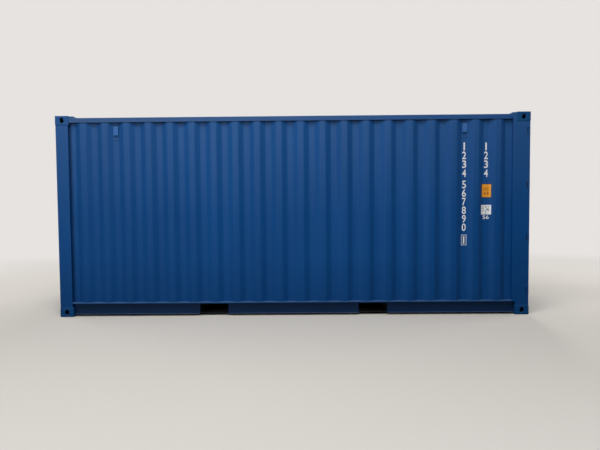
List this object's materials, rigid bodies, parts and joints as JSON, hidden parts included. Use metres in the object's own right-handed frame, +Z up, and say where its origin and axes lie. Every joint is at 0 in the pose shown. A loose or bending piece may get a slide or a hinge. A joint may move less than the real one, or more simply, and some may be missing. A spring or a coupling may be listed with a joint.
{
  "type": "shipping container",
  "caption": "Dry-freight shipping container with ribbed steel sides, corner castings, fork pockets, plywood floor and two end doors that swing right round.",
  "frame": {"origin": "middle of the base, at the level of the ground under the corner castings", "axes": "+X towards the doors, along the length; +Z up; -Y is the left side as seen by someone who faces the doors, and the side that the picture shows"},
  "size_m": [6.058, 2.438, 2.591],
  "materials": {
    "shell_paint": "semi-gloss blue container paint over corrugated weathering steel",
    "casting_paint": "blue container paint over cast steel",
    "vent_paint": "lighter blue painted vent hood",
    "underside_coating": "dark wax-like underside coating",
    "galvanised_steel": "galvanised lock bars and fittings",
    "door_rubber": "black extruded door gasket",
    "plywood": "sealed hardwood plywood floor"
  },
  "bodies": {
    "container": {"casting_front_left_bottom": "casting_paint", "casting_front_left_top": "casting_paint", "casting_front_right_bottom": "casting_paint", "casting_front_right_top": "casting_paint", "casting_rear_left_bottom": "casting_paint", "casting_rear_left_top": "casting_paint", "casting_rear_right_bottom": "casting_paint", "casting_rear_right_top": "casting_paint", "front_post_left": "shell_paint", "front_post_right": "shell_paint", "rear_post_left": "shell_paint", "rear_post_right": "shell_paint", "front_sill": "shell_paint", "front_header": "shell_paint", "door_sill": "shell_paint", "door_header": "shell_paint", "bottom_rail_left": "shell_paint", "bottom_rail_right": "shell_paint", "bottom_rail_webs": "shell_paint", "top_rail_left": "shell_paint", "top_rail_right": "shell_paint", "side_wall_left": "shell_paint", "side_wall_right": "shell_paint", "front_wall": "shell_paint", "roof_panel": "shell_paint", "roof_corner_plates": "shell_paint", "floor_cross_members": "underside_coating", "fork_pockets": "underside_coating", "fork_pocket_plates": "underside_coating", "floor_boards": "plywood", "side_vents": "vent_paint", "hinge_lugs": "shell_paint", "cam_keepers": "galvanised_steel"},
    "left_door": {"left_door_frame": "shell_paint", "left_door_panel": "shell_paint", "left_door_gasket": "door_rubber", "left_door_hinges": "shell_paint", "left_door_lock_bars": "galvanised_steel", "left_door_fittings": "galvanised_steel"},
    "right_door": {"right_door_frame": "shell_paint", "right_door_panel": "shell_paint", "right_door_gasket": "door_rubber", "right_door_hinges": "shell_paint", "right_door_lock_bars": "galvanised_steel", "right_door_fittings": "galvanised_steel"}
  },
  "joints": [
    {"name": "left_door_hinge", "type": "hinge", "parent": "container", "child": "left_door", "pos_m": [3.0165, -1.2065, 1.3295], "axis": [0, 0, -1], "range_deg": [0, 270]},
    {"name": "right_door_hinge", "type": "hinge", "parent": "container", "child": "right_door", "pos_m": [3.0165, 1.2065, 1.3295], "axis": [0, 0, 1], "range_deg": [0, 270]}
  ]
}
